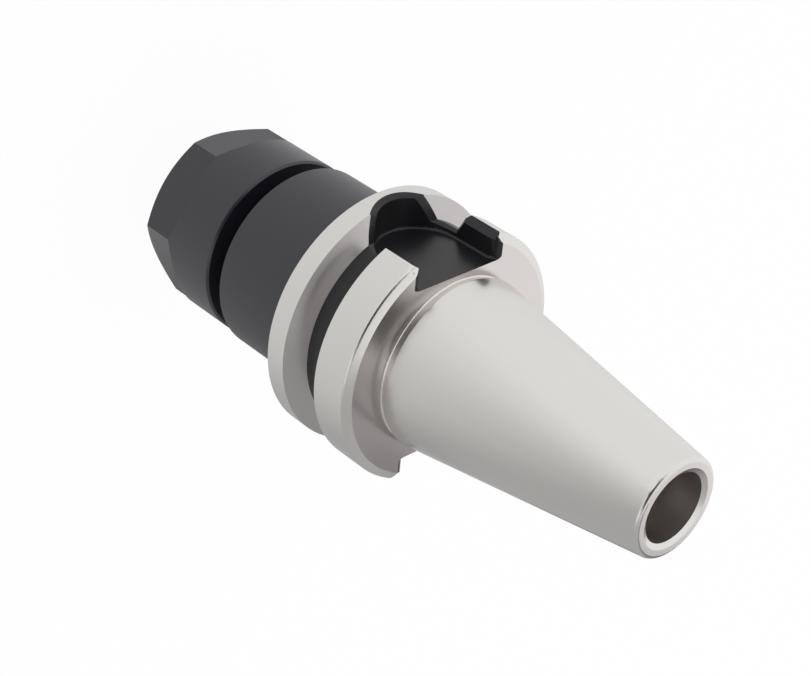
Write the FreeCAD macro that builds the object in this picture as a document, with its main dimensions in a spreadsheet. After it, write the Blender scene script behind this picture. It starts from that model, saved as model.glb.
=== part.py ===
import FreeCAD, Part
import math
import os
import Sketcher

# Collet chuck holder: a steep-taper shank with a gripping flange, a black collar with a threaded nose,
# a clamping nut with six flats, and the slotted collet that the nut presses into the nose.
# All lengths are millimetres and angles are degrees. The origin is the centre of the gauge circle,
# where the taper has its nominal diameter, and +Z runs up the axis to the taper's small end.
# Names that end in _depth below the gauge circle are counted downwards, along -Z.

SIZES = [
    # shank
    ("gauge_radius", 15.875, "taper radius at the gauge circle"),
    ("taper_ratio", 0.291667, "loss of diameter for each unit of length, 7 in 24"),
    ("taper_length", 48.4, "gauge circle to the small end"),
    ("end_round", 0.8, "rounding of the small end's outer edge"),
    ("neck_step", 0.675, "depth of the grinding relief between the taper and the flange"),
    ("neck_land", 0.25, "cylindrical land between the gauge circle and the relief"),
    ("neck_fillet", 0.4, "fillet of the relief where it meets the flange"),
    # bores from the small end
    ("pilot_radius", 6.25, "smooth bore that centres the pull stud"),
    ("pilot_length", 9.0, "length of the smooth bore"),
    ("pilot_bevel_width", 0.9, "radial width of the bore's mouth bevel"),
    ("pilot_bevel_length", 0.5, "axial length of the bore's mouth bevel"),
    ("stud_bore_radius", 5.05, "core radius of the pull stud's thread"),
    ("stud_lead_length", 1.0, "length of the slope from the smooth bore to the threaded one"),
    ("stud_bore_length", 34.0, "small end to the end of the threaded bore"),
    ("through_radius", 4.0, "bore through the middle of the holder"),
    ("drill_angle", 59.0, "half angle of a drill's point"),
    # flange
    ("flange_radius", 23.0, "outside of the flange"),
    ("flange_rear_depth", 2.0, "gauge circle to the flange's rear face"),
    ("rear_round", 0.8, "rounding of the flange's rear edge"),
    ("front_bevel", 0.5, "bevel of the front edge"),
    ("vee_centre_depth", 13.6, "gauge circle to the middle of the gripper groove"),
    ("vee_width", 8.0, "width of the gripper groove at the outside"),
    ("vee_depth", 3.5, "depth of the gripper groove"),
    ("vee_flank_angle", 30.0, "slope of each groove flank"),
    ("front_ring_width", 4.4, "width of the ring in front of the gripper groove"),
    # drive slots
    ("slot_width", 16.1, "width of a drive slot"),
    ("slot_step", 1.46, "height of a slot's wall below the floor of the gripper groove"),
    ("slot_reach", 1.35, "how far a slot's round end cuts into the front ring"),
    ("slot_fillet", 0.5, "fillet along the slot's floor"),
    ("slot_mouth_round", 2.1, "rounding of the slot's walls towards the rear face"),
    ("slot_mouth_angle", 12.0, "angle at which that rounding meets the rear face"),
    ("slot_bevel", 1.6, "bevel of the slot's edges in the rear ring"),
    ("slot_end_bevel_width", 1.0, "bevel of the slot's edges in the front ring, across its faces"),
    ("slot_end_bevel_height", 0.65, "the same bevel, down the slot's wall"),
    # collar and nose
    ("collar_radius", 17.5, "outside of the collar"),
    ("collar_length", 19.55, "flange to the collar's front face"),
    ("thread_radius", 12.5, "outside of the nose thread"),
    ("thread_clearance", 0.05, "radial running clearance in the thread"),
    ("thread_relief_step", 1.1, "depth of the relief between the collar and the nose thread"),
    ("thread_relief_length", 4.6, "length of that relief"),
    ("nose_length", 16.85, "collar to the nose's front face"),
    ("nose_bevel", 0.9, "bevel of the nose's outer edge"),
    ("tool_room_radius", 6.2, "bore behind the collet, for the end of a long tool"),
    ("tool_room_length", 7.75, "length of that bore"),
    ("socket_runout", 1.0, "length of the cone that goes on behind the collet"),
    # collet
    ("collet_radius", 10.5, "large end of the collet's long cone"),
    ("collet_length", 31.5, "overall length of the collet"),
    ("collet_stand", 1.0, "nose to the large end of the long cone"),
    ("collet_angle", 8.0, "half angle of the long cone"),
    ("face_angle", 30.0, "half angle of the short cone that the nut presses on"),
    ("face_cone_length", 3.3, "length of the short cone"),
    ("head_step", 0.4, "how much smaller than the long cone the ring in front of the groove is"),
    ("head_length", 0.75, "length of that ring"),
    ("groove_depth", 1.0, "depth of the extraction groove, from that ring"),
    ("groove_width", 1.8, "width of the extraction groove"),
    ("grip_radius", 5.0, "gripping bore of the collet"),
    ("grip_length", 20.0, "length of the gripping bore"),
    ("grip_bevel", 0.4, "bevel at the mouth of the gripping bore"),
    ("relief_step", 0.4, "how much wider the bore behind the gripping bore is"),
    ("slit_width", 0.9, "width of a slit"),
    ("slit_count", 8, "slits from each end"),
    ("back_web", 4.5, "solid length left behind the slits from the front"),
    ("front_web", 7.4, "solid length left in front of the slits from the back"),
    ("seat_clearance", 0.06, "clearance between a cone and its seat, square to the cone"),
    # clamping nut
    ("nut_radius", 17.0, "outside of the nut"),
    ("nut_length", 20.0, "overall length of the nut"),
    ("nut_rear_bevel", 0.4, "bevel of the nut's rear edge"),
    ("nut_front_bevel_width", 2.9, "radial width of the front edge's bevel"),
    ("nut_front_bevel_length", 2.25, "axial length of the front edge's bevel"),
    ("flat_depth", 2.3, "depth of a flat at its middle"),
    ("flats_count", 6, "flats for the spanner"),
    ("flats_length", 8.45, "length of a flat, from the nut's front face"),
    ("flats_runout", 1.8, "slope behind a flat, where the cutter came out"),
    ("nut_turn", -6.75, "turn of the nut about the axis when it is tight"),
    ("nut_thread_bevel", 0.8, "bevel at the mouth of that bore"),
    ("nut_room_step", 0.5, "how much wider than the thread the room in front of it is"),
    ("nut_room_length", 2.4, "length of that room"),
    ("nut_room_slope", 0.9, "length of the slope from that room to the lip"),
    ("lip_side_gap", 0.15, "least gap between the lip's circle and the groove's floor"),
    ("lip_offset", 0.5, "how far the lip's circle stands off the axis"),
    ("lip_clearance", 0.25, "gap between the lip and the ring of the collet"),
    ("lip_thickness", 1.0, "thickness of the lip"),
    ("lip_recess_step", 0.2, "room round the collet's ring in front of the lip"),
    ("mouth_bevel", 0.4, "bevel of the nut's front opening"),
    ("collet_inset", 0.5, "how far the collet's face lies inside the nut's face"),
]

# Lengths worked out from the sizes, written for the expressions of the sketches and features.
TAPER_LOSS = "(sizes.taper_length * sizes.taper_ratio / 2)"
SMALL_END_RADIUS = f"(sizes.gauge_radius - {TAPER_LOSS})"
NECK_RADIUS = "(sizes.gauge_radius - sizes.neck_step)"
VEE_HALF_WIDTH = "(sizes.vee_width / 2)"
VEE_FLOOR_RADIUS = "(sizes.flange_radius - sizes.vee_depth)"
VEE_RISE = "(sizes.vee_depth * tan(sizes.vee_flank_angle * 1 deg))"
VEE_FRONT_DEPTH = f"(sizes.vee_centre_depth + {VEE_HALF_WIDTH})"
FLANGE_FRONT_DEPTH = f"({VEE_FRONT_DEPTH} + sizes.front_ring_width)"
SLOT_HALF_WIDTH = "(sizes.slot_width / 2)"
MOUTH_HALF_WIDTH = f"({SLOT_HALF_WIDTH} + sizes.slot_mouth_round)"
MOUTH_DEPTH = "(sizes.flange_rear_depth + sizes.slot_mouth_round * cos(sizes.slot_mouth_angle * 1 deg))"
SLOT_FLOOR = f"(sqrt({VEE_FLOOR_RADIUS} ^ 2 - {SLOT_HALF_WIDTH} ^ 2) - sizes.slot_step)"
SLOT_ARC_DEPTH = f"({VEE_FRONT_DEPTH} + sizes.slot_reach - {SLOT_HALF_WIDTH})"
COLLAR_END_DEPTH = f"({FLANGE_FRONT_DEPTH} + sizes.collar_length)"
NOSE_DEPTH = f"({COLLAR_END_DEPTH} + sizes.nose_length)"
THREAD_MALE = "(sizes.thread_radius - sizes.thread_clearance / 2)"
THREAD_FEMALE = "(sizes.thread_radius + sizes.thread_clearance / 2)"
THREAD_RELIEF_RADIUS = "(sizes.thread_radius - sizes.thread_relief_step)"
CONE_FRONT_DEPTH = f"({NOSE_DEPTH} + sizes.collet_stand)"
HEAD_BACK_DEPTH = f"({CONE_FRONT_DEPTH} + sizes.groove_width)"
HEAD_FRONT_DEPTH = f"({HEAD_BACK_DEPTH} + sizes.head_length)"
COLLET_FRONT_DEPTH = f"({HEAD_FRONT_DEPTH} + sizes.face_cone_length)"
COLLET_BACK_DEPTH = f"({COLLET_FRONT_DEPTH} - sizes.collet_length)"
SOCKET_END_DEPTH = f"({COLLET_BACK_DEPTH} - sizes.socket_runout)"
HEAD_RADIUS = "(sizes.collet_radius - sizes.head_step)"
GROOVE_RADIUS = f"({HEAD_RADIUS} - sizes.groove_depth)"
RELIEF_RADIUS = "(sizes.grip_radius + sizes.relief_step)"
END_WALL = f"({SMALL_END_RADIUS} - sizes.pilot_radius)"
COLLET_SLOPE = "tan(sizes.collet_angle * 1 deg)"
FACE_SLOPE = "tan(sizes.face_angle * 1 deg)"
SEAT_GAP = "(sizes.seat_clearance / cos(sizes.collet_angle * 1 deg))"
FACE_GAP = "(sizes.seat_clearance / cos(sizes.face_angle * 1 deg))"
NUT_FRONT_DEPTH = f"({COLLET_FRONT_DEPTH} + sizes.collet_inset)"
NUT_REAR_DEPTH = f"({NUT_FRONT_DEPTH} - sizes.nut_length)"
NUT_ROOM_RADIUS = "(sizes.thread_radius + sizes.nut_room_step)"
LIP_FRONT_DEPTH = f"({HEAD_BACK_DEPTH} - sizes.lip_clearance)"
LIP_BACK_DEPTH = f"({LIP_FRONT_DEPTH} - sizes.lip_thickness)"
LIP_LEAST_RADIUS = f"({GROOVE_RADIUS} + sizes.lip_side_gap)"
LIP_RADIUS = f"({LIP_LEAST_RADIUS} + sizes.lip_offset)"
LIP_RECESS_RADIUS = f"({HEAD_RADIUS} + sizes.lip_recess_step)"
ROOM_FRONT_DEPTH = f"({LIP_BACK_DEPTH} - sizes.nut_room_slope)"
NUT_THREAD_END_DEPTH = f"({ROOM_FRONT_DEPTH} - sizes.nut_room_length)"
FLAT_RADIUS = "(sizes.nut_radius - sizes.flat_depth)"
OVERCUT = 1.0
NEAR = 0.01


def socket_radius(depth):
    """radius of the nose's cone at a depth, with its clearance to the collet"""
    return f"(sizes.collet_radius - ({CONE_FRONT_DEPTH} - {depth}) * {COLLET_SLOPE} + {SEAT_GAP})"


def nut_cone_radius(depth):
    """radius of the nut's inner cone at a depth, with its clearance to the collet"""
    return f"({HEAD_RADIUS} - ({depth} - {HEAD_FRONT_DEPTH}) * {FACE_SLOPE} + {FACE_GAP})"


def size_sheet(doc):
    """the spreadsheet that holds every driving size under its own name"""
    sheet = doc.addObject("Spreadsheet::Sheet", "sizes")
    for row, (alias, value, note) in enumerate(SIZES, start=1):
        sheet.set(f"A{row}", note)
        sheet.set(f"B{row}", str(value))
        sheet.setAlias(f"B{row}", alias)
    doc.recompute()
    return sheet


def worked_out(item, text):
    """the number that an expression of the sizes gives in an object of the document"""
    return float(item.evalExpression(text))


def new_body(doc, label):
    """an empty body whose label names its file"""
    body = doc.addObject("PartDesign::Body", label)
    body.Label = label
    return body


def origin_feature(body, role):
    """a plane or an axis of the body's own origin"""
    return next(item for item in body.Origin.OriginFeatures if item.Role == role)


def new_sketch(body, name, role, offset=None):
    """an empty sketch on one of the body's origin planes, moved off along its normal if asked"""
    sketch = body.newObject("Sketcher::SketchObject", name)
    sketch.AttachmentSupport = [(origin_feature(body, role), "")]
    sketch.MapMode = "FlatFace"
    if offset:
        sketch.setExpression("AttachmentOffset.Base.z", offset)
    return sketch


def pin_point(sketch, geometry, position, across, up):
    """hold one point of a sketch at two expressions, measured from the sketch's origin"""
    for kind, text in (("DistanceX", across), ("DistanceY", up)):
        start = worked_out(sketch, text)
        index = sketch.addConstraint(Sketcher.Constraint(kind, -1, 1, geometry, position, start))
        sketch.setExpression(f"Constraints[{index}]", text)


def sketch_polygon(sketch, corners):
    """a closed outline of straight lines, each corner a pair of expressions"""
    places = []
    for across, up in corners:
        places.append(FreeCAD.Vector(worked_out(sketch, across), worked_out(sketch, up), 0))
    count = len(corners)
    for index in range(count):
        sketch.addGeometry(Part.LineSegment(places[index], places[(index + 1) % count]), False)
    for index in range(count):
        sketch.addConstraint(Sketcher.Constraint("Coincident", index, 2, (index + 1) % count, 1))
    for index, (across, up) in enumerate(corners):
        pin_point(sketch, index, 1, across, up)
    return sketch


def revolved(body, kind, name, corners):
    """material added (Revolution) or cut (Groove) by turning a half section about the axis"""
    sketch = sketch_polygon(new_sketch(body, f"{name}_section", "XZ_Plane"), corners)
    feature = body.newObject(f"PartDesign::{kind}", name)
    feature.Profile = sketch
    feature.ReferenceAxis = (sketch, ["V_Axis"])
    feature.Angle = 360.0
    body.Tip = feature
    return feature


def polar_copies(doc, body, name, original, count):
    """equal copies of a cut round the axis"""
    doc.recompute()
    pattern = body.newObject("PartDesign::PolarPattern", name)
    pattern.Originals = [original]
    pattern.Axis = (origin_feature(body, "Z_Axis"), [""])
    pattern.Angle = 360.0
    if isinstance(count, str):
        pattern.setExpression("Occurrences", count)
    else:
        pattern.Occurrences = count
    body.Tip = pattern
    return pattern


def edge_names(shape, wanted):
    """names of the edges whose sampled points all pass a test"""
    names = []
    for number, edge in enumerate(shape.Edges, start=1):
        points = edge.discretize(5)
        if all(wanted(point) for point in points):
            names.append(f"Edge{number}")
    return names


def dress_edges(doc, body, kind, name, wanted, bound):
    """a fillet or an even chamfer on the edges that pass a test, its size bound to the sheet"""
    doc.recompute()
    base = body.Tip
    names = edge_names(base.Shape, wanted)
    feature = body.newObject(f"PartDesign::{kind}", name)
    feature.Base = (base, names)
    for field, text in bound.items():
        feature.setExpression(field, text)
    body.Tip = feature
    return feature


def uneven_bevel(doc, body, name, wanted, on_wall, height, width):
    """a chamfer with one leg down a wall and the other across the faces that the wall meets"""
    for flipped in (False, True):
        doc.recompute()
        base = body.Tip
        names = []
        for edge_name in edge_names(base.Shape, wanted):
            first = base.Shape.ancestorsOfType(base.Shape.getElement(edge_name), Part.Face)[0]
            wall_first = all(on_wall(vertex.Point) for vertex in first.Vertexes)
            if wall_first != flipped:
                names.append(edge_name)
        if not names:
            continue
        feature = body.newObject("PartDesign::Chamfer", f"{name}_flipped" if flipped else name)
        feature.Base = (base, names)
        feature.ChamferType = "Two distances"
        feature.FlipDirection = flipped
        feature.setExpression("Size", height)
        feature.setExpression("Size2", width)
        body.Tip = feature


def holder_blank(body):
    """shank, flange, collar and nose as one turned blank"""
    revolved(body, "Revolution", "blank", [
        ("0", "sizes.taper_length"),
        (SMALL_END_RADIUS, "sizes.taper_length"),
        ("sizes.gauge_radius", "0"),
        ("sizes.gauge_radius", "-sizes.flange_rear_depth"),
        ("sizes.flange_radius", "-sizes.flange_rear_depth"),
        ("sizes.flange_radius", f"-{FLANGE_FRONT_DEPTH} + sizes.front_bevel"),
        ("sizes.flange_radius - sizes.front_bevel", f"-{FLANGE_FRONT_DEPTH}"),
        ("sizes.collar_radius", f"-{FLANGE_FRONT_DEPTH}"),
        ("sizes.collar_radius", f"-{COLLAR_END_DEPTH}"),
        (THREAD_MALE, f"-{COLLAR_END_DEPTH}"),
        (THREAD_MALE, f"-{NOSE_DEPTH} + sizes.nose_bevel"),
        (f"{THREAD_MALE} - sizes.nose_bevel", f"-{NOSE_DEPTH}"),
        ("0", f"-{NOSE_DEPTH}"),
    ])


def holder_grooves(body):
    """the gripper groove, the grinding relief at the taper's foot and the relief behind the nose thread"""
    flank_reach = f"({OVERCUT} * tan(sizes.vee_flank_angle * 1 deg))"
    revolved(body, "Groove", "gripper_groove", [
        (VEE_FLOOR_RADIUS, f"-sizes.vee_centre_depth + {VEE_HALF_WIDTH} - {VEE_RISE}"),
        (f"sizes.flange_radius + {OVERCUT}", f"-sizes.vee_centre_depth + {VEE_HALF_WIDTH} + {flank_reach}"),
        (f"sizes.flange_radius + {OVERCUT}", f"-sizes.vee_centre_depth - {VEE_HALF_WIDTH} - {flank_reach}"),
        (VEE_FLOOR_RADIUS, f"-sizes.vee_centre_depth - {VEE_HALF_WIDTH} + {VEE_RISE}"),
    ])
    revolved(body, "Groove", "grinding_relief", [
        (NECK_RADIUS, "-sizes.neck_land - sizes.neck_step / 2"),
        ("sizes.gauge_radius + sizes.neck_step", "-sizes.neck_land + sizes.neck_step / 2"),
        ("sizes.gauge_radius + sizes.neck_step", "-sizes.flange_rear_depth"),
        (NECK_RADIUS, "-sizes.flange_rear_depth"),
    ])
    revolved(body, "Groove", "thread_relief", [
        (THREAD_RELIEF_RADIUS, f"-{COLLAR_END_DEPTH}"),
        (f"sizes.thread_radius + {OVERCUT}", f"-{COLLAR_END_DEPTH}"),
        (f"sizes.thread_radius + {OVERCUT}", f"-{COLLAR_END_DEPTH} - sizes.thread_relief_length"),
        (THREAD_RELIEF_RADIUS, f"-{COLLAR_END_DEPTH} - sizes.thread_relief_length"),
    ])


def holder_bores(body):
    """the stud bore from the small end, the cone for the collet from the nose, and the bore between them"""
    point = "tan(sizes.drill_angle * 1 deg)"
    bevel_width = f"min(sizes.pilot_bevel_width; {END_WALL} * 0.4)"
    bevel_slope = f"({bevel_width} / sizes.pilot_bevel_length)"
    bevel_outside = f"(sizes.pilot_radius + {bevel_width})"
    stud_end = "(sizes.taper_length - sizes.stud_bore_length)"
    stud_point = f"(sizes.stud_bore_radius - sizes.through_radius) / {point}"
    room_point = f"(sizes.tool_room_radius - sizes.through_radius) / {point}"
    revolved(body, "Groove", "stud_bore", [
        ("0", f"sizes.taper_length + {OVERCUT}"),
        (f"{bevel_outside} + {bevel_slope} * {OVERCUT}", f"sizes.taper_length + {OVERCUT}"),
        ("sizes.pilot_radius", "sizes.taper_length - sizes.pilot_bevel_length"),
        ("sizes.pilot_radius", "sizes.taper_length - sizes.pilot_length"),
        ("sizes.stud_bore_radius", "sizes.taper_length - sizes.pilot_length - sizes.stud_lead_length"),
        ("sizes.stud_bore_radius", stud_end),
        ("sizes.through_radius", f"{stud_end} - {stud_point}"),
        ("sizes.through_radius", "-sizes.flange_rear_depth"),
        ("0", "-sizes.flange_rear_depth"),
    ])
    room_end = f"({SOCKET_END_DEPTH} - sizes.tool_room_length)"
    mouth = f"({NOSE_DEPTH} + {OVERCUT})"
    revolved(body, "Groove", "collet_socket", [
        ("0", f"-{mouth}"),
        (socket_radius(mouth), f"-{mouth}"),
        (socket_radius(SOCKET_END_DEPTH), f"-{SOCKET_END_DEPTH}"),
        ("sizes.tool_room_radius", f"-{SOCKET_END_DEPTH}"),
        ("sizes.tool_room_radius", f"-{room_end}"),
        ("sizes.through_radius", f"-{room_end} + {room_point}"),
        ("sizes.through_radius", "0"),
        ("0", "0"),
    ])


def slot_outline(sketch):
    """a drive slot seen from outside: two walls from a round end to a mouth that widens in two roundings"""
    wall = worked_out(sketch, SLOT_HALF_WIDTH)
    end = -worked_out(sketch, SLOT_ARC_DEPTH)
    mouth = worked_out(sketch, MOUTH_HALF_WIDTH)
    start = -worked_out(sketch, MOUTH_DEPTH)
    reach = mouth - wall
    top = OVERCUT - worked_out(sketch, "sizes.flange_rear_depth")
    point = FreeCAD.Vector
    right = Part.Circle(point(mouth, start, 0), point(0, 0, 1), reach)
    left = Part.Circle(point(-mouth, start, 0), point(0, 0, 1), reach)
    bottom = Part.Circle(point(0, end, 0), point(0, 0, 1), wall)
    sketch.addGeometry(Part.LineSegment(point(wall, end, 0), point(wall, start, 0)), False)
    sketch.addGeometry(Part.ArcOfCircle(right, math.pi / 2, math.pi), False)
    sketch.addGeometry(Part.LineSegment(point(mouth, start + reach, 0), point(mouth, top, 0)), False)
    sketch.addGeometry(Part.LineSegment(point(mouth, top, 0), point(-mouth, top, 0)), False)
    sketch.addGeometry(Part.LineSegment(point(-mouth, top, 0), point(-mouth, start + reach, 0)), False)
    sketch.addGeometry(Part.ArcOfCircle(left, 0, math.pi / 2), False)
    sketch.addGeometry(Part.LineSegment(point(-wall, start, 0), point(-wall, end, 0)), False)
    sketch.addGeometry(Part.ArcOfCircle(bottom, math.pi, 2 * math.pi), False)
    joints = [(0, 2, 1, 2), (1, 1, 2, 1), (2, 2, 3, 1), (3, 2, 4, 1), (4, 2, 5, 2), (5, 1, 6, 1)]
    for first, leaving, second, entering in joints:
        sketch.addConstraint(Sketcher.Constraint("Coincident", first, leaving, second, entering))
    sketch.addConstraint(Sketcher.Constraint("Tangent", 6, 2, 7, 1))
    sketch.addConstraint(Sketcher.Constraint("Tangent", 7, 2, 0, 1))
    pin_point(sketch, 0, 1, SLOT_HALF_WIDTH, f"-{SLOT_ARC_DEPTH}")
    pin_point(sketch, 0, 2, SLOT_HALF_WIDTH, f"-{MOUTH_DEPTH}")
    pin_point(sketch, 2, 1, MOUTH_HALF_WIDTH, f"sizes.slot_mouth_round - {MOUTH_DEPTH}")
    pin_point(sketch, 2, 2, MOUTH_HALF_WIDTH, f"{OVERCUT} - sizes.flange_rear_depth")
    pin_point(sketch, 4, 1, f"-{MOUTH_HALF_WIDTH}", f"{OVERCUT} - sizes.flange_rear_depth")
    pin_point(sketch, 4, 2, f"-{MOUTH_HALF_WIDTH}", f"sizes.slot_mouth_round - {MOUTH_DEPTH}")
    pin_point(sketch, 6, 1, f"-{SLOT_HALF_WIDTH}", f"-{MOUTH_DEPTH}")
    index = sketch.addConstraint(Sketcher.Constraint("DistanceX", -1, 1, 6, 2, -wall))
    sketch.setExpression(f"Constraints[{index}]", f"-{SLOT_HALF_WIDTH}")
    for arc in (1, 5):
        index = sketch.addConstraint(Sketcher.Constraint("Radius", arc, reach))
        sketch.setExpression(f"Constraints[{index}]", "sizes.slot_mouth_round")
    return sketch


def drive_slots(doc, body, sheet):
    """two opposite slots through the rear ring and into the front ring"""
    sketch = slot_outline(new_sketch(body, "slot_outline", "YZ_Plane", SLOT_FLOOR))
    slot = body.newObject("PartDesign::Pocket", "drive_slot")
    slot.Profile = sketch
    slot.Type = "Length"
    slot.Reversed = True
    slot.setExpression("Length", f"sizes.flange_radius - {SLOT_FLOOR} + {OVERCUT}")
    body.Tip = slot
    polar_copies(doc, body, "drive_slots", slot, 2)
    bevel_slot_edges(doc, body, sheet)


def bevel_slot_edges(doc, body, sheet):
    """the bevels round each slot, ring by ring, and then the fillet along its floor"""
    half = worked_out(sheet, SLOT_HALF_WIDTH)
    arc_centre = -worked_out(sheet, SLOT_ARC_DEPTH)
    mouth_start = -worked_out(sheet, MOUTH_DEPTH)
    slot_floor = worked_out(sheet, SLOT_FLOOR)
    vee_centre = -sheet.vee_centre_depth
    vee_floor = worked_out(sheet, VEE_FLOOR_RADIUS)

    def on_wall(point):
        straight = point.z >= arc_centre - NEAR and abs(abs(point.y) - half) < NEAR
        reach = math.hypot(point.y, point.z - arc_centre)
        rounded = point.z <= arc_centre + NEAR and abs(reach - half) < NEAR
        mouth_reach = math.hypot(abs(point.y) - half - sheet.slot_mouth_round, point.z - mouth_start)
        widened = point.z >= mouth_start - NEAR and abs(mouth_reach - sheet.slot_mouth_round) < NEAR
        return (straight or rounded or widened) and abs(point.x) > slot_floor - NEAR

    def on_outside(point):
        return abs(math.hypot(point.x, point.y) - sheet.flange_radius) < NEAR

    def on_groove_floor(point):
        return abs(math.hypot(point.x, point.y) - vee_floor) < NEAR

    def on_flank(point):
        """within the gripper groove's flanks, by their slope"""
        climb = math.hypot(point.x, point.y) - sheet.flange_radius
        rise = sheet.vee_width / 2 + climb * math.tan(math.radians(sheet.vee_flank_angle))
        return abs(abs(point.z - vee_centre) - rise) < NEAR

    def front_edge(point):
        return on_wall(point) and point.z < vee_centre and (on_outside(point) or on_flank(point))

    def rear_edge(point):
        return on_wall(point) and point.z > vee_centre and on_outside(point)

    def groove_floor_edge(point):
        return on_wall(point) and on_groove_floor(point)

    def rear_flank_edge(point):
        return on_wall(point) and point.z > vee_centre and on_flank(point)

    def slot_floor_edge(point):
        return on_wall(point) and abs(abs(point.x) - slot_floor) < NEAR

    height = "sizes.slot_end_bevel_height"
    width = "sizes.slot_end_bevel_width"
    uneven_bevel(doc, body, "front_ring_bevel", front_edge, on_wall, height, width)
    dress_edges(doc, body, "Chamfer", "rear_ring_bevel", rear_edge, {"Size": "sizes.slot_bevel"})
    uneven_bevel(doc, body, "groove_floor_bevel", groove_floor_edge, on_wall, height, width)
    dress_edges(doc, body, "Chamfer", "rear_flank_bevel", rear_flank_edge, {"Size": height})
    dress_edges(doc, body, "Fillet", "slot_floor_fillet", slot_floor_edge, {"Radius": "sizes.slot_fillet"})


def round_rear_edge(doc, body, sheet):
    """the rounding of the flange's rear edge"""
    def rear_rim(point):
        on_outside = abs(math.hypot(point.x, point.y) - sheet.flange_radius) < NEAR
        return on_outside and abs(point.z + sheet.flange_rear_depth) < NEAR

    dress_edges(doc, body, "Fillet", "rear_edge_round", rear_rim, {"Radius": "sizes.rear_round"})


def round_shank_edges(doc, body, sheet):
    """the rounded small end and the fillet of the grinding relief"""
    small_end = worked_out(sheet, SMALL_END_RADIUS)
    neck = worked_out(sheet, NECK_RADIUS)

    def small_end_edge(point):
        on_end = abs(point.z - sheet.taper_length) < NEAR
        return on_end and abs(math.hypot(point.x, point.y) - small_end) < NEAR

    def neck_edge(point):
        on_face = abs(point.z + sheet.flange_rear_depth) < NEAR
        return on_face and abs(math.hypot(point.x, point.y) - neck) < NEAR

    end_round = f"min(sizes.end_round; {END_WALL} * 0.4)"
    dress_edges(doc, body, "Fillet", "small_end_round", small_end_edge, {"Radius": end_round})
    dress_edges(doc, body, "Fillet", "neck_fillet", neck_edge, {"Radius": "sizes.neck_fillet"})


def holder_body(doc, sheet):
    """taper shank, flange, collar and nose in one piece"""
    body = new_body(doc, "holder_body")
    holder_blank(body)
    holder_grooves(body)
    holder_bores(body)
    drive_slots(doc, body, sheet)
    round_rear_edge(doc, body, sheet)
    round_shank_edges(doc, body, sheet)
    return body


def slit_pattern(doc, body, name, top, bottom, first_turn):
    """radial slits between two heights: one cut, turned about the axis, and its copies"""
    sketch = new_sketch(body, f"{name}_outline", "XZ_Plane")
    sketch_polygon(sketch, [
        ("0", bottom),
        (f"sizes.collet_radius + {OVERCUT}", bottom),
        (f"sizes.collet_radius + {OVERCUT}", top),
        ("0", top),
    ])
    upright = FreeCAD.Rotation(FreeCAD.Vector(0, 1, 0), 1)
    sketch.AttachmentOffset = FreeCAD.Placement(FreeCAD.Vector(), upright)
    sketch.setExpression("AttachmentOffset.Rotation.Angle", first_turn)
    slit = body.newObject("PartDesign::Pocket", name)
    slit.Profile = sketch
    slit.Type = "Length"
    slit.Midplane = True
    slit.setExpression("Length", "sizes.slit_width")
    body.Tip = slit
    polar_copies(doc, body, f"{name}s", slit, "sizes.slit_count")


def collet(doc):
    """the collet: long cone, extraction groove, short cone, gripping bore and slits from both ends"""
    body = new_body(doc, "collet")
    cone_length = f"({CONE_FRONT_DEPTH} - {COLLET_BACK_DEPTH})"
    revolved(body, "Revolution", "blank", [
        ("sizes.grip_radius + sizes.grip_bevel", f"-{COLLET_FRONT_DEPTH}"),
        (f"{HEAD_RADIUS} - sizes.face_cone_length * {FACE_SLOPE}", f"-{COLLET_FRONT_DEPTH}"),
        (HEAD_RADIUS, f"-{HEAD_FRONT_DEPTH}"),
        (HEAD_RADIUS, f"-{HEAD_BACK_DEPTH}"),
        (GROOVE_RADIUS, f"-{HEAD_BACK_DEPTH}"),
        (GROOVE_RADIUS, f"-{CONE_FRONT_DEPTH}"),
        ("sizes.collet_radius", f"-{CONE_FRONT_DEPTH}"),
        (f"sizes.collet_radius - {cone_length} * {COLLET_SLOPE}", f"-{COLLET_BACK_DEPTH}"),
        (RELIEF_RADIUS, f"-{COLLET_BACK_DEPTH}"),
        (RELIEF_RADIUS, f"-{COLLET_FRONT_DEPTH} + sizes.grip_length"),
        ("sizes.grip_radius", f"-{COLLET_FRONT_DEPTH} + sizes.grip_length"),
        ("sizes.grip_radius", f"-{COLLET_FRONT_DEPTH} + sizes.grip_bevel"),
    ])
    front_end = f"-{COLLET_FRONT_DEPTH} - {OVERCUT}"
    back_end = f"-{COLLET_BACK_DEPTH} + {OVERCUT}"
    web_end = f"-{COLLET_BACK_DEPTH} - sizes.back_web"
    web_start = f"-{COLLET_FRONT_DEPTH} + sizes.front_web"
    slit_pattern(doc, body, "front_slit", web_end, front_end, "0 deg")
    slit_pattern(doc, body, "back_slit", back_end, web_start, "180 deg / sizes.slit_count")
    return body


def lip_opening(body):
    """the lip's inner circle, off the axis so that the collet snaps in on one side"""
    sketch = new_sketch(body, "lip_circle", "XY_Plane", f"-{LIP_FRONT_DEPTH}")
    centre = FreeCAD.Vector(worked_out(sketch, "sizes.lip_offset"), 0, 0)
    radius = worked_out(sketch, LIP_RADIUS)
    sketch.addGeometry(Part.Circle(centre, FreeCAD.Vector(0, 0, 1), radius), False)
    pin_point(sketch, 0, 3, "sizes.lip_offset", "0")
    index = sketch.addConstraint(Sketcher.Constraint("Radius", 0, radius))
    sketch.setExpression(f"Constraints[{index}]", LIP_RADIUS)
    opening = body.newObject("PartDesign::Pocket", "lip_opening")
    opening.Profile = sketch
    opening.Type = "Length"
    opening.Reversed = True
    opening.setExpression("Length", "sizes.lip_thickness")
    body.Tip = opening


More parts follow.
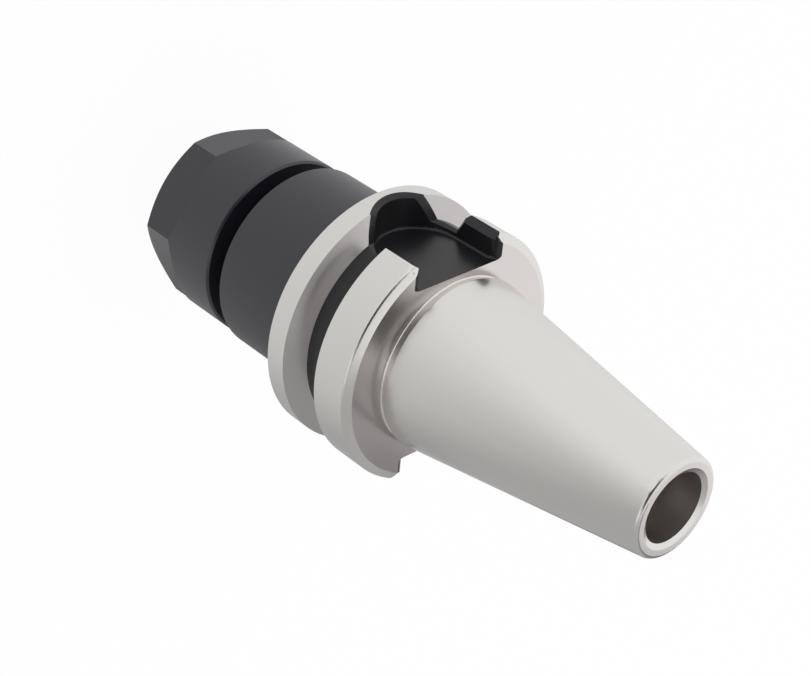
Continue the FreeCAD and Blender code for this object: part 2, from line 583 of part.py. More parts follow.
def spanner_flats(doc, body):
    """one flat with the slope behind it, and its copies round the nut"""
    sketch = new_sketch(body, "flat_section", "XZ_Plane")
    outside = f"(sizes.nut_radius + {OVERCUT})"
    front = f"-{NUT_FRONT_DEPTH} - {OVERCUT}"
    slope = "(sizes.flats_runout / sizes.flat_depth)"
    flat_end = f"-{NUT_FRONT_DEPTH} + sizes.flats_length"
    sketch_polygon(sketch, [
        (FLAT_RADIUS, front),
        (outside, front),
        (outside, f"{flat_end} + sizes.flats_runout + {slope} * {OVERCUT}"),
        (FLAT_RADIUS, flat_end),
    ])
    flat = body.newObject("PartDesign::Pocket", "flat")
    flat.Profile = sketch
    flat.Type = "Length"
    flat.Midplane = True
    flat.setExpression("Length", "2 * sizes.nut_radius")
    body.Tip = flat
    polar_copies(doc, body, "flats", flat, "sizes.flats_count")


def clamping_nut(doc):
    """the nut: thread bore, room for the nose, off-centre extraction lip, inner cone and six flats"""
    body = new_body(doc, "clamping_nut")
    revolved(body, "Revolution", "blank", [
        ("0", f"-{NUT_REAR_DEPTH}"),
        ("sizes.nut_radius - sizes.nut_rear_bevel", f"-{NUT_REAR_DEPTH}"),
        ("sizes.nut_radius", f"-{NUT_REAR_DEPTH} - sizes.nut_rear_bevel"),
        ("sizes.nut_radius", f"-{NUT_FRONT_DEPTH} + sizes.nut_front_bevel_length"),
        ("sizes.nut_radius - sizes.nut_front_bevel_width", f"-{NUT_FRONT_DEPTH}"),
        ("0", f"-{NUT_FRONT_DEPTH}"),
    ])
    recess_gain = f"({LIP_RECESS_RADIUS} - {HEAD_RADIUS} - {FACE_GAP})"
    recess_end = f"({HEAD_FRONT_DEPTH} - {recess_gain} / {FACE_SLOPE})"
    mouth = f"({NUT_FRONT_DEPTH} - sizes.mouth_bevel)"
    revolved(body, "Groove", "inside", [
        ("0", f"-{NUT_REAR_DEPTH} + {OVERCUT}"),
        (f"{THREAD_FEMALE} + sizes.nut_thread_bevel + {OVERCUT}", f"-{NUT_REAR_DEPTH} + {OVERCUT}"),
        (THREAD_FEMALE, f"-{NUT_REAR_DEPTH} - sizes.nut_thread_bevel"),
        (THREAD_FEMALE, f"-{NUT_THREAD_END_DEPTH}"),
        (NUT_ROOM_RADIUS, f"-{NUT_THREAD_END_DEPTH}"),
        (NUT_ROOM_RADIUS, f"-{ROOM_FRONT_DEPTH}"),
        (LIP_RECESS_RADIUS, f"-{LIP_BACK_DEPTH}"),
        (LIP_LEAST_RADIUS, f"-{LIP_BACK_DEPTH}"),
        (LIP_LEAST_RADIUS, f"-{LIP_FRONT_DEPTH}"),
        (LIP_RECESS_RADIUS, f"-{LIP_FRONT_DEPTH}"),
        (LIP_RECESS_RADIUS, f"-{recess_end}"),
        (nut_cone_radius(mouth), f"-{mouth}"),
        (f"{nut_cone_radius(mouth)} + sizes.mouth_bevel + {OVERCUT}", f"-{NUT_FRONT_DEPTH} - {OVERCUT}"),
        ("0", f"-{NUT_FRONT_DEPTH} - {OVERCUT}"),
    ])
    lip_opening(body)
    spanner_flats(doc, body)
    body.setExpression("Placement.Rotation.Angle", "sizes.nut_turn * 1 deg")
    return body


def main():
    """builds every piece, checks it and writes its file"""
    doc = FreeCAD.newDocument("collet_chuck_holder")
    sheet = size_sheet(doc)
    pieces = [holder_body(doc, sheet), collet(doc), clamping_nut(doc)]
    doc.recompute()
    for item in doc.Objects:
        if "Invalid" in item.State or "Error" in item.State:
            raise RuntimeError(f"{item.Label} did not build: {item.State}")
    os.makedirs("parts", exist_ok=True)
    for piece in pieces:
        if piece.Shape.isNull() or not piece.Shape.isValid():
            raise RuntimeError(f"{piece.Label} has no valid solid")
        piece.Shape.exportStep(f"parts/{piece.Label}.step")
        print(piece.Label, "solids", len(piece.Shape.Solids), "volume", round(piece.Shape.Volume, 1))


main()
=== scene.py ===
import math

import bpy
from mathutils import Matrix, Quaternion, Vector


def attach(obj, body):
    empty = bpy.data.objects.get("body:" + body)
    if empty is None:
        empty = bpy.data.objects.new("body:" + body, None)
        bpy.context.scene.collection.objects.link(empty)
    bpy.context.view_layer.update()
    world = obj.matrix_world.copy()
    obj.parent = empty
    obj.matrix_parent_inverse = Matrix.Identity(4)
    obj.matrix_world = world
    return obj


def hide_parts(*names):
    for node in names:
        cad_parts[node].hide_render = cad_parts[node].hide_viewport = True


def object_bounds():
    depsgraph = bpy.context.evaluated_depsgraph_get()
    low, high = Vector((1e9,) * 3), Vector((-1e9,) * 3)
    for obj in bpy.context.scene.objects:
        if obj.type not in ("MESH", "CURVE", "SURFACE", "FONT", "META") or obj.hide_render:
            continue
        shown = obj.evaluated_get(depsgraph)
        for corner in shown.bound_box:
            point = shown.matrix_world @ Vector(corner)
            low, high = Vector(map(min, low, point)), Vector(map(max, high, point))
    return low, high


# Collet chuck holder in ground and blackened steel.
# The settings and the sizes below are in millimetres, and Blender's own lengths are metres.
# +Z runs up the axis to the taper's small end, and the origin is the centre of the taper's gauge circle.

bl_info = {
    "name": "Collet chuck holder",
    "version": (1, 0, 0),
    "blender": (4, 5, 0),
    "location": "View3D > Sidebar > Holder",
    "description": "Models a collet chuck holder's finished surfaces, threads and studio on its packed solids",
    "category": "Object",
}

MM = 0.001
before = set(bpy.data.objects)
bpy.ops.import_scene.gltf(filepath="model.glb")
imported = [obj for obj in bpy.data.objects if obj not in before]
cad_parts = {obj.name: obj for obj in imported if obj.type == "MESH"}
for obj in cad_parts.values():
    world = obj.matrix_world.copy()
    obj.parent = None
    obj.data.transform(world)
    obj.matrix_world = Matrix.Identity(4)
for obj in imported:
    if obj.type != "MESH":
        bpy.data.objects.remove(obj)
cad_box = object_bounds()

# These sizes are the solids' own. Radii and the slots' floors count from the axis, heights from the gauge
# circle, and the slots' widths from their middle.
FLANGE_RADIUS = 23.0
FLANGE_REAR = -2.0
FLANGE_FRONT = -22.0
GROOVE_MIDDLE = -13.6
GROOVE_HALF_WIDTH = 4.0
GROOVE_FLOOR_HALF_WIDTH = 2.0
GROOVE_FLOOR_RADIUS = 19.5
GROOVE_FLANK_RISE = math.cos(math.radians(30))
SLOT_FLOOR = 16.3
SLOT_HALF_WIDTH = 8.05
SLOT_END = -19.95
MOUTH_ROUND = 2.1
MOUTH_START = -4.054

# This is the bevel of the flange's rear edge, from its inner edge to where it rounds into the outside.
REAR_BEVEL = [(21.45, -2.0), (22.6, -2.586), (22.82, -2.74), (22.95, -2.9)]
BEVEL_INNER_RADIUS = REAR_BEVEL[0][0]

# What fills the corners of the flange's rim stays this far inside the solid's surfaces.
SKIN = 0.005

# A surface is found by its place, with this much room for its broken edges.
SLACK = 0.2

# The unscrewed nut comes down by a little less than this, and the floor lies so far below the holder.
NUT_TRAVEL = 10.6


class HolderSettings(bpy.types.PropertyGroup):
    """sizes and finishes of the three steel pieces"""
    edge_round: bpy.props.FloatProperty(
        name="Edge rounding", description="Width of the broken edges, in millimetres", default=0.12)
    oxide_colour: bpy.props.FloatVectorProperty(
        name="Black oxide", description="Colour of the blackened surfaces", subtype="COLOR", size=3,
        default=(0.0105, 0.0108, 0.016))
    steel_colour: bpy.props.FloatVectorProperty(
        name="Ground steel", description="Colour of the ground surfaces", subtype="COLOR", size=3,
        default=(0.76, 0.745, 0.72))
    turned_colour: bpy.props.FloatVectorProperty(
        name="Turned steel", description="Colour of the flange's turned rear face", subtype="COLOR", size=3,
        default=(0.72, 0.68, 0.67))
    # Recess oxide: the black oxide made darker and duller in the slots and the groove's floor, partly the
    # oxide's own colour and partly painted shade.
    recess_shaded_colour: bpy.props.FloatVectorProperty(
        name="Recess oxide", description="Colour of the blackened slots and groove floor", subtype="COLOR",
        size=3, default=(0.009, 0.009, 0.0105))
    # The groove flanks' turned steel is darker than the rear face's: partly its own duller finish, partly
    # painted shade in the groove.
    groove_shaded_colour: bpy.props.FloatVectorProperty(
        name="Groove flanks", description="Colour of the gripper groove's turned flanks", subtype="COLOR",
        size=3, default=(0.55, 0.53, 0.525))
    bore_colour: bpy.props.FloatVectorProperty(
        name="Bored steel", description="Colour of the turned bores", subtype="COLOR", size=3,
        default=(0.62, 0.58, 0.56))
    nose_pitch: bpy.props.FloatProperty(
        name="Nose thread pitch", description="Distance between two turns of the nose thread, in millimetres",
        default=1.5)
    stud_pitch: bpy.props.FloatProperty(
        name="Stud thread pitch", description="Distance between two turns of the stud thread, in millimetres",
        default=1.75)


class StudioSettings(bpy.types.PropertyGroup):
    """the camera, the floor and the light"""
    camera_place: bpy.props.FloatVectorProperty(
        name="Camera", description="Place of the camera, in millimetres", size=3,
        default=(-187.05, -209.12, 197.03))
    camera_aim: bpy.props.FloatVectorProperty(
        name="Aim", description="Point that the camera looks at, in millimetres", size=3,
        default=(0.79, -0.71, -12.11))
    camera_roll: bpy.props.FloatProperty(
        name="Roll", description="Turn of the picture about the line of sight", subtype="ANGLE",
        default=math.radians(123.6))
    camera_lens: bpy.props.FloatProperty(
        name="Lens", description="Focal length on a sensor 36 mm wide, in millimetres", default=92.0)
    world_strength: bpy.props.FloatProperty(
        name="Surroundings", description="Brightness of the white room round the object", default=1.0)
    floor_fall: bpy.props.FloatProperty(
        name="Floor falloff", description="How much darker the steel sees the floor on the shaded side",
        default=0.3)


def only(piece):
    """make one object the active and only selected one"""
    bpy.ops.object.select_all(action="DESELECT")
    piece.select_set(True)
    bpy.context.view_layer.objects.active = piece
    return piece


def apply_modifier(piece, kind, **settings):
    """add a modifier with its settings and apply it"""
    only(piece)
    modifier = piece.modifiers.new(kind.title(), kind)
    for field, value in settings.items():
        setattr(modifier, field, value)
    bpy.ops.object.modifier_apply(modifier=modifier.name)


def welded_copy(node, name):
    """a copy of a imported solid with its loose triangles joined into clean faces"""
    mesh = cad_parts[node].data.copy()
    mesh.materials.clear()
    piece = bpy.data.objects.new(name, mesh)
    bpy.context.scene.collection.objects.link(piece)
    only(piece)
    bpy.ops.object.mode_set(mode="EDIT")
    bpy.ops.mesh.select_all(action="SELECT")
    bpy.ops.mesh.remove_doubles(threshold=0.001 * MM)
    bpy.ops.mesh.dissolve_limited(angle_limit=math.radians(0.3))
    bpy.ops.object.mode_set(mode="OBJECT")
    return piece


def break_edges(piece, width, sharper_than):
    """round every edge that turns by more than an angle in degrees"""
    apply_modifier(piece, "BEVEL", width=width * MM, segments=2, limit_method="ANGLE",
                   angle_limit=math.radians(sharper_than), harden_normals=False)


def combine(piece, operation, other):
    """cut another object's shape out of a piece, or add it to the piece, and delete the other object"""
    apply_modifier(piece, "BOOLEAN", operation=operation, object=other, solver="EXACT")
    bpy.data.objects.remove(other)


def new_form(name, corners, edges, faces):
    """a new object in the scene, from corners in millimetres"""
    mesh = bpy.data.meshes.new(name)
    mesh.from_pydata([(x * MM, y * MM, z * MM) for x, y, z in corners], edges, faces)
    form = bpy.data.objects.new(name, mesh)
    bpy.context.scene.collection.objects.link(form)
    return only(form)


def new_section(name, section):
    """a closed line through (radius, height) corners in millimetres, on the +X side of the axis"""
    count = len(section)
    edges = [(index, (index + 1) % count) for index in range(count)]
    return new_form(name, [(radius, 0, height) for radius, height in section], edges, [])


def face_outwards(form):
    """turn all faces of a closed form to the outside"""
    only(form)
    bpy.ops.object.mode_set(mode="EDIT")
    bpy.ops.mesh.select_all(action="SELECT")
    bpy.ops.mesh.normals_make_consistent(inside=False)
    bpy.ops.object.mode_set(mode="OBJECT")
    return form


def helical_ridge(name, section, pitch, turns, start_height):
    """a closed ridge: a section of (radius, height) corners in millimetres swept up a right-hand helix"""
    steps = 96
    ridge = new_section(name, [(radius, start_height + height) for radius, height in section])
    apply_modifier(ridge, "SCREW", axis="Z", angle=math.tau, screw_offset=pitch * MM, iterations=turns,
                   steps=steps, render_steps=steps, use_merge_vertices=False)
    bpy.ops.object.mode_set(mode="EDIT")
    bpy.ops.mesh.select_all(action="DESELECT")
    bpy.ops.mesh.select_mode(type="EDGE")
    bpy.ops.mesh.select_non_manifold()
    bpy.ops.mesh.fill()
    bpy.ops.object.mode_set(mode="OBJECT")
    return face_outwards(ridge)


def turned_ring(name, section):
    """a closed ring: a section of (radius, height) corners in millimetres turned round the axis"""
    steps = 160
    ring = new_section(name, section)
    apply_modifier(ring, "SCREW", axis="Z", angle=math.tau, screw_offset=0, iterations=1, steps=steps,
                   render_steps=steps, use_merge_vertices=True, merge_threshold=0.0001 * MM)
    return face_outwards(ring)


def prism(name, outline, shift):
    """a closed straight solid: a flat outline in millimetres drawn out along a shift"""
    solid = new_form(name, outline, [], [list(range(len(outline)))])
    bpy.ops.object.mode_set(mode="EDIT")
    bpy.ops.mesh.select_all(action="SELECT")
    bpy.ops.mesh.extrude_region_move(TRANSFORM_OT_translate={"value": Vector(shift) * MM})
    bpy.ops.object.mode_set(mode="OBJECT")
    return face_outwards(solid)


def rim_section():
    """the section of a ring just inside the rear part of the flange's rim"""
    bore = 21.2
    outside = FLANGE_RADIUS - SKIN
    front = -4.6
    round_end = -3.06
    bevel = [(radius - SKIN, height - SKIN) for radius, height in reversed(REAR_BEVEL)]
    return [(bore, front), (outside, front), (outside, round_end), *bevel, (bore, FLANGE_REAR - SKIN)]


def mouth_corners():
    """the rim's corners beside the slots' mouths: their bevel runs out straight into the widened walls"""
    below = -6.0
    above = -1.5
    corners = turned_ring("mouth_corners", rim_section())

    # The walls of both mouths curve outwards, from the slot's width below to the rear face above.
    rounding_centre = SLOT_HALF_WIDTH + MOUTH_ROUND + 2 * SKIN
    wall = [(rounding_centre - MOUTH_ROUND, below)]
    for degrees in range(180, 94, -17):
        turn = math.radians(degrees)
        across = rounding_centre + MOUTH_ROUND * math.cos(turn)
        wall.append((across, MOUTH_START + MOUTH_ROUND * math.sin(turn)))
    wall.append((across, above))
    far = 30
    outline = [(-far, y, z) for y, z in wall] + [(-far, -y, z) for y, z in reversed(wall)]
    combine(corners, "DIFFERENCE", prism("mouth_cutter", outline, (2 * far, 0, 0)))

    # The planes of a slot's two outside bevels meet in a line inside the holder, and they open outwards.
    meeting = 14.574
    opening = 24.6
    half_width = 15.04
    for side in (-1, 1):
        wedge = [(side * meeting, 0, below), (side * opening, half_width, below),
                 (side * opening, -half_width, below)]
        combine(corners, "DIFFERENCE", prism("bevel_cutter", wedge, (0, 0, above - below)))
    return corners


def finish_piece(piece, body, node):
    """smooth shading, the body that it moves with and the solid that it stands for"""
    only(piece)
    bpy.ops.object.shade_smooth_by_angle(angle=math.radians(32))
    apply_modifier(piece, "WEIGHTED_NORMAL", mode="FACE_AREA", weight=50, keep_sharp=True)
    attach(piece, body)
    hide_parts(node)


class NodeMaterial:
    """a node material with its shader, and short ways to add nodes and join them"""

    def __init__(self, name):
        self.material = bpy.data.materials.new(name)
        self.material.use_nodes = True
        self.nodes = self.material.node_tree.nodes
        self.shader = self.nodes["Principled BSDF"].inputs

    def add(self, kind, **settings):
        """a new node with its settings"""
        node = self.nodes.new(kind)
        for field, value in settings.items():
            setattr(node, field, value)
        return node

    def feed(self, socket, value):
        """give a socket a value of its own, or what another socket says"""
        if isinstance(value, bpy.types.NodeSocket):
            self.material.node_tree.links.new(value, socket)
        else:
            socket.default_value = value

    def vector(self, operation, *values):
        """a node that works on vectors"""
        node = self.add("ShaderNodeVectorMath", operation=operation)
        for socket, value in zip(node.inputs, values):
            self.feed(socket, value)
        return node.outputs

    def number(self, operation, first, second):
        """the number that an operation makes of two sockets or numbers"""
        node = self.add("ShaderNodeMath", operation=operation)
        self.feed(node.inputs[0], first)
        self.feed(node.inputs[1], second)
        return node.outputs[0]

    def parts(self, vector):
        """the X, Y and Z of a vector"""
        node = self.add("ShaderNodeSeparateXYZ")
        self.feed(node.inputs[0], vector)
        return node.outputs

    def joined(self, x, y, z):
        """a vector made of three numbers"""
        node = self.add("ShaderNodeCombineXYZ")
        for socket, value in zip(node.inputs, (x, y, z)):
            self.feed(socket, value)
        return node.outputs[0]

    def ranged(self, value, low, high):
        """a value from 0 to 1 stretched to a range"""
        node = self.add("ShaderNodeMapRange")
        self.feed(node.inputs["Value"], value)
        self.feed(node.inputs["To Min"], low)
        self.feed(node.inputs["To Max"], high)
        return node.outputs["Result"]

    def place(self):
        """where a point lies on the object"""
        return self.add("ShaderNodeTexCoord").outputs["Object"]

    def show(self, surface):
        """let the material show a surface of its own in place of the shader alone"""
        self.feed(self.nodes["Material Output"].inputs["Surface"], surface)


def turned_lines(build, lines_per_mm, spread):
    """noise drawn out round the axis, like the marks of a wheel or a tool, from the height and the radius"""
    x, y, z = build.parts(build.place())
    radius = build.vector("LENGTH", build.joined(x, y, 0.0))["Value"]
    marks = build.joined(x, y, build.number("ADD", z, radius))
    scale = (spread / MM, spread / MM, lines_per_mm / MM)
    noise = build.add("ShaderNodeTexNoise")
    build.feed(noise.inputs["Vector"], build.vector("MULTIPLY", marks, scale)["Vector"])
    build.feed(noise.inputs["Scale"], 1.0)
    build.feed(noise.inputs["Detail"], 3.0)
    build.feed(noise.inputs["Roughness"], 0.6)
    return noise.outputs["Fac"]


def two_tones(build, lines, colour, dark_share):
    """a colour that is darker between the lines"""
    tone = build.add("ShaderNodeMix", data_type="RGBA")
    dark = [dark_share * channel for channel in colour]
    build.feed(tone.inputs["A"], (*dark, 1))
    build.feed(tone.inputs["B"], (*colour, 1))
    build.feed(tone.inputs["Factor"], lines)
    return tone.outputs["Result"]


def steel_material(name, colour, rough, rough_spread, lines_per_mm, depth, stretch):
    """bright steel with the fine marks of its grinding or turning"""
    build = NodeMaterial(name)
    lines = turned_lines(build, lines_per_mm, spread=0.02)
    bump = build.add("ShaderNodeBump")
    build.feed(bump.inputs["Strength"], 0.2)
    build.feed(bump.inputs["Distance"], depth * MM)
    build.feed(bump.inputs["Height"], lines)
    tangent = build.add("ShaderNodeTangent", direction_type="RADIAL", axis="Z")
    build.feed(build.shader["Base Color"], two_tones(build, lines, colour, dark_share=0.97))
    build.feed(build.shader["Roughness"], build.ranged(lines, rough - rough_spread, rough + rough_spread))
    build.feed(build.shader["Normal"], bump.outputs[0])
    build.feed(build.shader["Tangent"], tangent.outputs[0])
    build.feed(build.shader["Metallic"], 1.0)
    build.feed(build.shader["Anisotropic"], stretch)
    return build.material


def oxide_material(name, colour, rough, gloss):
    """satin black oxide: a thin dark skin on fine-turned steel"""
    rough_spread = 0.04
    build = NodeMaterial(name)
    lines = turned_lines(build, lines_per_mm=6.0, spread=0.05)
    build.feed(build.shader["Base Color"], two_tones(build, lines, colour, dark_share=0.85))
    build.feed(build.shader["Roughness"], build.ranged(lines, rough - rough_spread, rough + rough_spread))
    build.feed(build.shader["IOR"], gloss)
    build.feed(build.shader["Specular Tint"], (0.96, 0.965, 1.0, 1))
    return build.material


def floor_shade(build, fall):
    """how much darker the steel sees the floor: more and more towards +X and -Y, and round +X most of all"""
    shade_at_axis = 0.21
    shade_per_metre = (0.67, -0.5, 0)
    least = 0.04
    most = 0.66
    place = build.place()
    direction = build.vector("NORMALIZE", build.vector("MULTIPLY", place, (1, 1, 0))["Vector"])["Vector"]
    towards_x = build.number("MAXIMUM", build.parts(direction)["X"], 0.0)
    side_shade = build.number("MULTIPLY", build.number("POWER", towards_x, 3.0), fall)
    slope = build.vector("DOT_PRODUCT", place, shade_per_metre)["Value"]
    shade = build.number("ADD", side_shade, build.number("ADD", slope, shade_at_axis))
    return build.number("MINIMUM", build.number("MAXIMUM", shade, least), most)


def floor_material(fall):
    """white that takes the shadow, with a glow that the camera and the steel's reflections see"""
    glow_share = 0.95
    build = NodeMaterial("floor_white")
    build.feed(build.shader["Base Color"], (0.9, 0.9, 0.9, 1))
    build.feed(build.shader["Roughness"], 0.9)
    ray = build.add("ShaderNodeLightPath").outputs
    shade = build.number("MULTIPLY", floor_shade(build, fall), ray["Is Glossy Ray"])
    glow = build.add("ShaderNodeEmission")
    build.feed(glow.inputs["Strength"], build.number("SUBTRACT", 1.0, shade))
    seen = build.number("MAXIMUM", ray["Is Camera Ray"], ray["Is Glossy Ray"])
    seen = build.number("MAXIMUM", seen, ray["Is Transmission Ray"])
    mix = build.add("ShaderNodeMixShader")
    build.feed(mix.inputs[0], build.number("MULTIPLY", seen, glow_share))
    build.feed(mix.inputs[1], build.nodes["Principled BSDF"].outputs[0])
    build.feed(mix.inputs[2], glow.outputs[0])
    build.show(mix.outputs[0])
    return build.material


def card_material(name, near_shade, far_shade):
    """a dim glow that changes from one shade to another along +Y"""
    fade_start = 20
    fade_end = 85
    build = NodeMaterial(name)
    fade = build.add("ShaderNodeMapRange", interpolation_type="SMOOTHSTEP")
    build.feed(fade.inputs["Value"], build.parts(build.place())["Y"])
    build.feed(fade.inputs["From Min"], fade_start * MM)
    build.feed(fade.inputs["From Max"], fade_end * MM)
    build.feed(fade.inputs["To Min"], near_shade)
    build.feed(fade.inputs["To Max"], far_shade)
    glow = build.add("ShaderNodeEmission")
    build.feed(glow.inputs["Strength"], fade.outputs["Result"])
    build.show(glow.outputs[0])
    return build.material


class FaceFacts:
    """where a face lies and how it is turned, in millimetres"""

    def __init__(self, mesh, face):
        corners = [mesh.vertices[index].co / MM for index in face.vertices]
        radii = [math.hypot(corner.x, corner.y) for corner in corners]
        self.inner = min(radii)
        self.outer = max(radii)
        self.low = min(corner.z for corner in corners)
        self.high = max(corner.z for corner in corners)
        self.nearest_x = min(abs(corner.x) for corner in corners)
        self.widest_y = max(abs(corner.y) for corner in corners)
        middle = sum(corners, Vector()) / len(corners)
        around = Vector((-middle.y, middle.x, 0)).normalized()
        self.up = face.normal.z
        self.turned = abs(face.normal.dot(around)) < 0.06

    def within(self, low, high):
        """whether the whole face lies between two heights"""
        return low < self.low and self.high < high


def groove_flank(face):
    """the gripper groove's two sloping sides"""
    floor_edge = 0.1
    reach = GROOVE_HALF_WIDTH + SLACK
    beyond_floor = face.inner > GROOVE_FLOOR_RADIUS - floor_edge
    in_groove = beyond_floor and face.within(GROOVE_MIDDLE - reach, GROOVE_MIDDLE + reach)
    return in_groove and face.turned and abs(abs(face.up) - GROOVE_FLANK_RISE) < 0.03


def groove_floor(face):
    """the gripper groove's floor with its broken edges"""
    reach = GROOVE_FLOOR_HALF_WIDTH + SLACK
    at_floor = face.inner > GROOVE_FLOOR_RADIUS - SLACK and face.outer < GROOVE_FLOOR_RADIUS + SLACK
    return at_floor and face.within(GROOVE_MIDDLE - reach, GROOVE_MIDDLE + reach)


def flange_rear(face):
    """the flange's flat rear face"""
    return face.up > 0.99 and face.low > FLANGE_REAR - SLACK and face.outer < BEVEL_INNER_RADIUS + SLACK


def flange_outside(face):
    """the flange's outside with its bevelled rear edge"""
    bevel_end = -3.2
    at_rim = face.inner > BEVEL_INNER_RADIUS - SLACK and face.turned
    return at_rim and (abs(face.up) < 0.05 or face.low > bevel_end)


def blackened_front(face):
    """everything outside, from the flange's front face to the nose"""
    nose_bore = 11
    edge_share = 0.05
    return face.high < FLANGE_FRONT + edge_share and face.inner > nose_bore


def blackened_shaded_recess(face):
    """the groove's floor and the drive slots' floors, walls, ends and bevels, which take a darker, duller
    oxide as painted shade
    """
    mouth_edge = 0.25
    mouth_half_width = SLOT_HALF_WIDTH + MOUTH_ROUND + mouth_edge
    beside_slot = face.nearest_x > SLOT_FLOOR - SLACK and face.widest_y < mouth_half_width
    in_slot = beside_slot and face.within(SLOT_END - SLACK, FLANGE_REAR + SLACK)
    bright = groove_flank(face) or flange_rear(face) or flange_outside(face)
    return groove_floor(face) or (in_slot and not bright)


def bored_out(face):
    """the shank's bores, from the pilot bore's mouth to the thread's end"""
    bore_wall = 6.35
    bore_start = 8
    bore_end = 48.0
    return face.outer < bore_wall and face.within(bore_start, bore_end)


def paint_faces(piece, material, wanted):
    """give the faces that pass a test a material of their own"""
    piece.data.materials.append(material)
    number = len(piece.data.materials) - 1
    for face in piece.data.polygons:
        if wanted(FaceFacts(piece.data, face)):
            face.material_index = number


class OBJECT_OT_holder_body(bpy.types.Operator):
    """Shank, flange, collar and nose, with their threads, edges and finishes"""
    bl_idname = "object.holder_body"
    bl_label = "Holder body"

    def execute(self, context):
        settings = context.scene.holder
        piece = welded_copy("holder_body", "holder_body_finished")
        self.bevel_rear_edge(piece)
        break_edges(piece, settings.edge_round, sharper_than=24)
        combine(piece, "UNION", mouth_corners())
        self.cut_threads(piece, settings)
        self.paint(piece, settings)
        finish_piece(piece, "holder", "holder_body")
        return {"FINISHED"}

    def bevel_rear_edge(self, piece):
        """cut the flange's rear edge down to its bevel"""
        front = -3.1
        above = -1.5
        beyond = FLANGE_RADIUS + 0.6
        waste = [*REAR_BEVEL, (FLANGE_RADIUS + 0.02, front), (beyond, front), (beyond, above),
                 (BEVEL_INNER_RADIUS, above)]
        combine(piece, "DIFFERENCE", turned_ring("rear_bevel", waste))

    def cut_threads(self, piece, settings):
        """the nose's outside thread, and the stud's thread in the shank's bore"""
        nose_section = [(12.7, -0.786), (12.7, 0.786), (11.555, 0.125), (11.555, -0.125)]
        nose = helical_ridge("nose_groove", nose_section, settings.nose_pitch, turns=10, start_height=-60.2)
        combine(piece, "DIFFERENCE", nose)
        stud_section = [(4.9, -0.743), (6.0, -0.109), (6.0, 0.109), (4.9, 0.743)]
        stud = helical_ridge("stud_groove", stud_section, settings.stud_pitch, turns=13, start_height=17.0)
        combine(piece, "DIFFERENCE", stud)

    def paint(self, piece, settings):
        """ground steel all over, and then the surfaces that were turned, bored or blackened; the groove flanks
        and the recesses get darker copies that paint their shade
        """
        ground = steel_material("ground_steel", settings.steel_colour, rough=0.26, rough_spread=0.03,
                                lines_per_mm=9.0, depth=0.001, stretch=0.5)
        turned = steel_material("turned_steel", settings.turned_colour, rough=0.3, rough_spread=0.05,
                                lines_per_mm=6.0, depth=0.003, stretch=0.4)
        # The groove flanks take a darker copy of the turned steel: partly their own finish, partly painted
        # shade in the groove.
        groove_shaded_steel = steel_material("groove_steel_painted_shade", settings.groove_shaded_colour, rough=0.33, rough_spread=0.05,
                                 lines_per_mm=6.0, depth=0.003, stretch=0.4)
        bored = steel_material("bored_steel", settings.bore_colour, rough=0.4, rough_spread=0.05,
                               lines_per_mm=4.0, depth=0.004, stretch=0.3)
        oxide = oxide_material("holder_black_oxide", settings.oxide_colour, rough=0.38, gloss=1.68)
        # A darker, less glossy copy of the oxide paints the shade in the slots and the groove's floor.
        shaded_recess_oxide = oxide_material("recess_oxide_painted_shade", settings.recess_shaded_colour, rough=0.3, gloss=1.45)
        piece.data.materials.clear()
        piece.data.materials.append(ground)
        for face in piece.data.polygons:
            face.material_index = 0
        paint_faces(piece, turned, flange_rear)
        paint_faces(piece, groove_shaded_steel, groove_flank)
        paint_faces(piece, oxide, blackened_front)
        paint_faces(piece, shaded_recess_oxide, blackened_shaded_recess)
        paint_faces(piece, bored, bored_out)


class OBJECT_OT_clamping_nut(bpy.types.Operator):
    """Clamping nut with its flats, broken edges and the ridge of its thread"""
    bl_idname = "object.clamping_nut"
    bl_label = "Clamping nut"

    def execute(self, context):
        settings = context.scene.holder
        piece = welded_copy("clamping_nut", "clamping_nut_finished")
        break_edges(piece, settings.edge_round, sharper_than=20)
        thread_section = [(12.65, -0.67), (12.65, 0.67), (11.7, 0.15), (11.7, -0.15)]
        thread = helical_ridge("nut_thread", thread_section, settings.nose_pitch, turns=6, start_height=-56.2)
        only(piece)
        thread.select_set(True)
        bpy.ops.object.join()
        oxide = oxide_material("nut_black_oxide", settings.oxide_colour, rough=0.33, gloss=1.68)
        piece.data.materials.clear()
        piece.data.materials.append(oxide)
        finish_piece(piece, "nut", "clamping_nut")
        return {"FINISHED"}


class OBJECT_OT_collet(bpy.types.Operator):
    """Slotted collet in bright ground steel"""
    bl_idname = "object.collet"
    bl_label = "Collet"

    def execute(self, context):
        settings = context.scene.holder
        piece = welded_copy("collet", "collet_finished")
        steel = steel_material("collet_steel", settings.steel_colour, rough=0.24, rough_spread=0.04,
                               lines_per_mm=9.0, depth=0.002, stretch=0.4)
        piece.data.materials.clear()
        piece.data.materials.append(steel)
        finish_piece(piece, "collet", "collet")
        return {"FINISHED"}


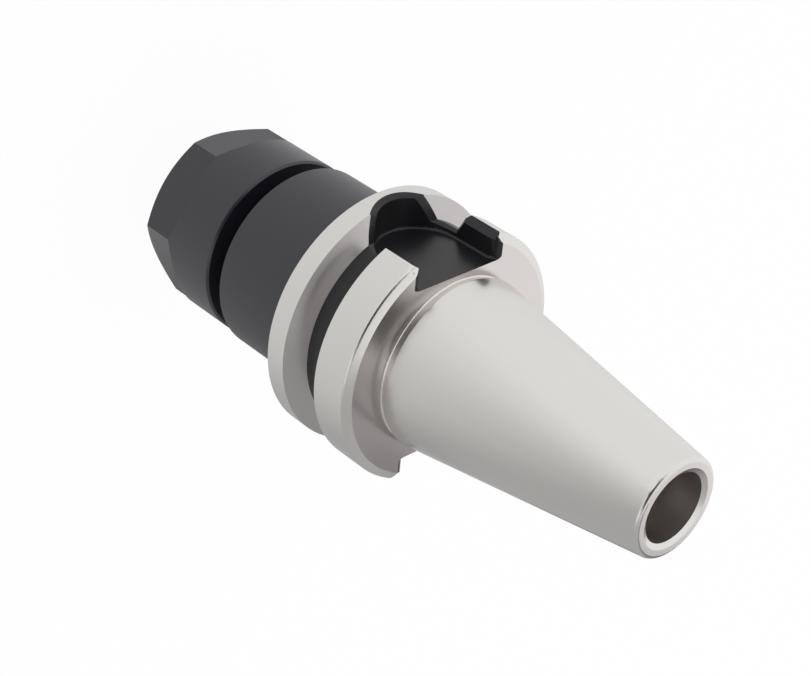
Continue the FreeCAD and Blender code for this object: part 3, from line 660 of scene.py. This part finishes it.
class OBJECT_OT_studio(bpy.types.Operator):
    """White floor and surroundings, two dark cards for the steel to reflect, and the photograph's camera"""
    bl_idname = "object.holder_studio"
    bl_label = "Studio"

    def execute(self, context):
        settings = context.scene.studio
        self.add_camera(context, settings)
        self.add_floor(settings)
        self.add_card("card_beside", place=(120, -105, 170), aim=(0, -105, 170), side=430,
                      near_shade=0.48, far_shade=0.16)
        self.add_card("card_above", place=(-152, -188, 302), aim=(0, 0, 0), side=370,
                      near_shade=0.03, far_shade=0.03)
        self.add_world(context, settings)
        return {"FINISHED"}

    def add_camera(self, context, settings):
        """the camera at the photograph's viewing angle"""
        data = bpy.data.cameras.new("camera")
        camera = bpy.data.objects.new("camera", data)
        context.scene.collection.objects.link(camera)
        place = Vector(settings.camera_place) * MM
        sight = Vector(settings.camera_aim) * MM - place
        roll = Quaternion((0, 0, 1), settings.camera_roll)
        camera.location = place
        camera.rotation_mode = "QUATERNION"
        camera.rotation_quaternion = sight.to_track_quat("-Z", "Y") @ roll
        data.lens = settings.camera_lens
        data.sensor_width = 36.0
        data.sensor_fit = "HORIZONTAL"
        data.clip_start = 0.01
        data.clip_end = 20.0
        context.scene.camera = camera

    def add_floor(self, settings):
        """a white disc below the unscrewed nut's reach"""
        level = cad_box[0][2] - NUT_TRAVEL * MM
        bpy.ops.mesh.primitive_circle_add(vertices=96, radius=3.0, fill_type="NGON", location=(0, 0, level))
        floor = bpy.context.object
        floor.name = "floor"
        bpy.ops.object.transform_apply(location=True, rotation=True, scale=True)
        floor.data.materials.append(floor_material(settings.floor_fall))

    def add_card(self, name, place, aim, side, near_shade, far_shade):
        """a square card that only the steel's reflections see, turned towards a point, in millimetres"""
        place = Vector(place) * MM
        turn = (Vector(aim) * MM - place).to_track_quat("Z", "Y").to_euler()
        bpy.ops.mesh.primitive_plane_add(size=1, location=place, rotation=turn)
        card = bpy.context.object
        card.name = name
        card.scale = (side * MM, side * MM, 1)
        bpy.ops.object.transform_apply(location=True, rotation=True, scale=True)
        card.visible_camera = False
        card.visible_diffuse = False
        card.visible_shadow = False
        card.data.materials.append(card_material(name, near_shade, far_shade))

    def add_world(self, context, settings):
        """an even white room"""
        world = bpy.data.worlds.new("studio_room")
        context.scene.world = world
        world.use_nodes = True
        background = world.node_tree.nodes["Background"]
        background.inputs["Color"].default_value = (1, 1, 1, 1)
        background.inputs["Strength"].default_value = settings.world_strength


class VIEW3D_PT_holder(bpy.types.Panel):
    """Lists the pieces of the holder and its studio"""
    bl_idname = "VIEW3D_PT_holder"
    bl_label = "Collet chuck holder"
    bl_space_type = "VIEW_3D"
    bl_region_type = "UI"
    bl_category = "Holder"

    def draw(self, context):
        for operator in OPERATORS:
            self.layout.operator(operator.bl_idname)


OPERATORS = (OBJECT_OT_studio, OBJECT_OT_holder_body, OBJECT_OT_clamping_nut, OBJECT_OT_collet)
CLASSES = (HolderSettings, StudioSettings, *OPERATORS, VIEW3D_PT_holder)


def register():
    for item in CLASSES:
        bpy.utils.register_class(item)
    bpy.types.Scene.holder = bpy.props.PointerProperty(type=HolderSettings)
    bpy.types.Scene.studio = bpy.props.PointerProperty(type=StudioSettings)


def unregister():
    del bpy.types.Scene.studio
    del bpy.types.Scene.holder
    for item in reversed(CLASSES):
        bpy.utils.unregister_class(item)


def main():
    register()
    bpy.context.scene.view_settings.view_transform = "Standard"
    bpy.ops.object.holder_studio()
    bpy.ops.object.holder_body()
    bpy.ops.object.clamping_nut()
    bpy.ops.object.collet()


if __name__ == "__main__":
    main()
